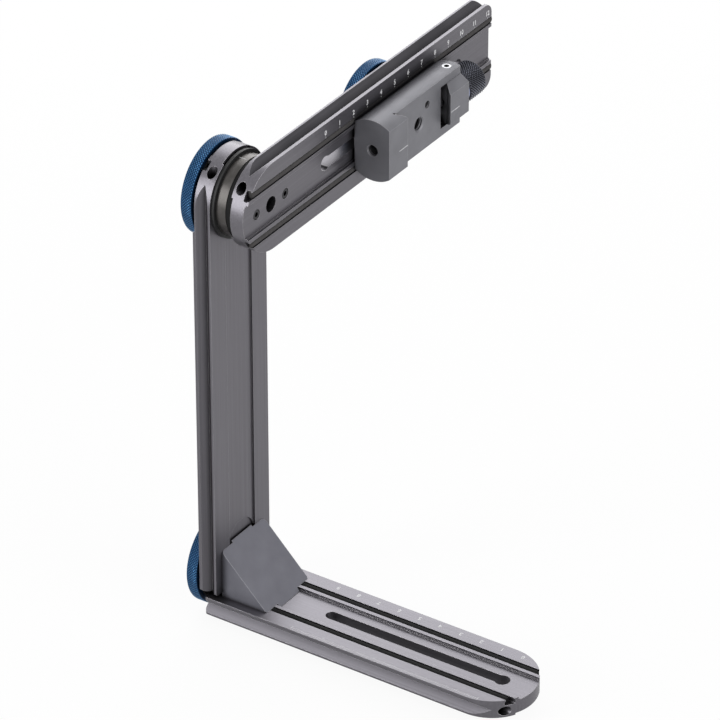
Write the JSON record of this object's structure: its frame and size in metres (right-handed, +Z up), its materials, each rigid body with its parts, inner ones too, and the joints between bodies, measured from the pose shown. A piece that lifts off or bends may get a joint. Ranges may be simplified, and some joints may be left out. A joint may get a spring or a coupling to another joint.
{
  "type": "panoramic tripod head",
  "caption": "L-shaped panoramic head: grooved lower rail, upright, tilting upper rail with a sliding dovetail camera clamp and round knurled lock knobs.",
  "frame": {"origin": "on the centre plane, at the lower rail's underside, in the plane of the upright's plain front face", "axes": "+X outward along the lower rail, +Y along the upper rail towards its free end, +Z up"},
  "size_m": [0.1561, 0.1812, 0.2183],
  "materials": {
    "titanium_grey_anodised": "satin titanium-grey anodised extrusion",
    "clamp_grey_anodised": "matt grey anodised, fine blasted",
    "steel": "plain steel screws and pins",
    "black_anodised": "black anodised, turned",
    "hub_brown_anodised": "brown-grey hard anodised, turned",
    "black_polymer": "black sliding polymer",
    "black_rubber": "black rubber strips",
    "knob_blue_anodised": "blue anodised, diamond knurl",
    "core_black": "black moulded core",
    "knob_black_anodised": "black anodised, straight knurl",
    "ring_blue_anodised": "pale blue-grey anodised"
  },
  "bodies": {
    "base": {"lower_rail": "titanium_grey_anodised", "lower_strips": "black_rubber", "foot_bracket": "titanium_grey_anodised", "bracket_screws": "steel", "upright_rail": "titanium_grey_anodised", "upright_strips": "black_rubber", "tilt_base_ring": "black_anodised", "base_ring_screws": "steel"},
    "tilt_arm": {"upper_rail": "titanium_grey_anodised", "upper_strips": "black_rubber", "tilt_hub": "hub_brown_anodised", "hub_spacer": "black_polymer", "hub_screws": "steel", "tilt_axle": "steel"},
    "tilt_lock_washer": {"tilt_washer": "black_polymer"},
    "tilt_lock": {"tilt_knob": "knob_blue_anodised", "tilt_knob_core": "core_black", "tilt_knob_cap": "core_black"},
    "foot_lock_washer": {"foot_washer": "black_polymer"},
    "foot_lock": {"foot_knob": "knob_blue_anodised", "foot_knob_core": "core_black", "foot_stud": "steel", "foot_knob_cap": "core_black"},
    "clamp": {"clamp_body": "clamp_grey_anodised", "jaw_guide_pins": "steel", "jaw_set_screw": "steel"},
    "slide_lock_washer": {"slide_washer": "black_polymer"},
    "slide_lock": {"slide_knob": "knob_blue_anodised", "slide_knob_core": "core_black", "slide_stud": "steel", "slide_knob_cap": "core_black"},
    "jaw": {"clamp_jaw": "clamp_grey_anodised"},
    "jaw_screw": {"jaw_spindle": "steel", "jaw_ring": "ring_blue_anodised", "jaw_knob": "knob_black_anodised", "jaw_knob_pin": "steel"}
  },
  "joints": [
    {"name": "tilt", "type": "hinge", "parent": "base", "child": "tilt_arm", "pos_m": [0, 0, 0.1934], "axis": [1, 0, 0], "continuous": true},
    {"name": "tilt_washer_slide", "type": "slide", "parent": "tilt_arm", "child": "tilt_lock_washer", "axis": [-1, 0, 0], "range_m": [0, 0.002]},
    {"name": "tilt_knob_turn", "type": "hinge", "parent": "tilt_lock_washer", "child": "tilt_lock", "pos_m": [-0.01, 0, 0.1934], "axis": [-1, 0, 0], "range_deg": [0, 720]},
    {"name": "foot_washer_slide", "type": "slide", "parent": "base", "child": "foot_lock_washer", "axis": [-1, 0, 0], "range_m": [0, 0.002]},
    {"name": "foot_knob_turn", "type": "hinge", "parent": "foot_lock_washer", "child": "foot_lock", "pos_m": [-0.01, 0, 0.0165], "axis": [-1, 0, 0], "range_deg": [0, 720]},
    {"name": "clamp_slide", "type": "slide", "parent": "tilt_arm", "child": "clamp", "axis": [0, 1, 0], "range_m": [-0.043, 0.05]},
    {"name": "slide_washer_slide", "type": "slide", "parent": "clamp", "child": "slide_lock_washer", "axis": [-1, 0, 0], "range_m": [0, 0.002]},
    {"name": "slide_knob_turn", "type": "hinge", "parent": "slide_lock_washer", "child": "slide_lock", "pos_m": [0.005, 0.0857, 0.1934], "axis": [-1, 0, 0], "range_deg": [0, 720]},
    {"name": "jaw_slide", "type": "slide", "parent": "clamp", "child": "jaw", "axis": [0, 1, 0], "range_m": [-0.0025, 0.0035]},
    {"name": "jaw_knob_turn", "type": "hinge", "parent": "jaw", "child": "jaw_screw", "pos_m": [0.026, 0.125, 0.1934], "axis": [0, 1, 0], "range_deg": [-1125, 1575]}
  ],
  "couplings": [
    {"joint": "tilt_washer_slide", "follows": "tilt_knob_turn", "m_per_rad": 0.00015915},
    {"joint": "foot_washer_slide", "follows": "foot_knob_turn", "m_per_rad": 0.00015915},
    {"joint": "slide_washer_slide", "follows": "slide_knob_turn", "m_per_rad": 0.00015915},
    {"joint": "jaw_slide", "follows": "jaw_knob_turn", "m_per_rad": 0.00012732}
  ]
}
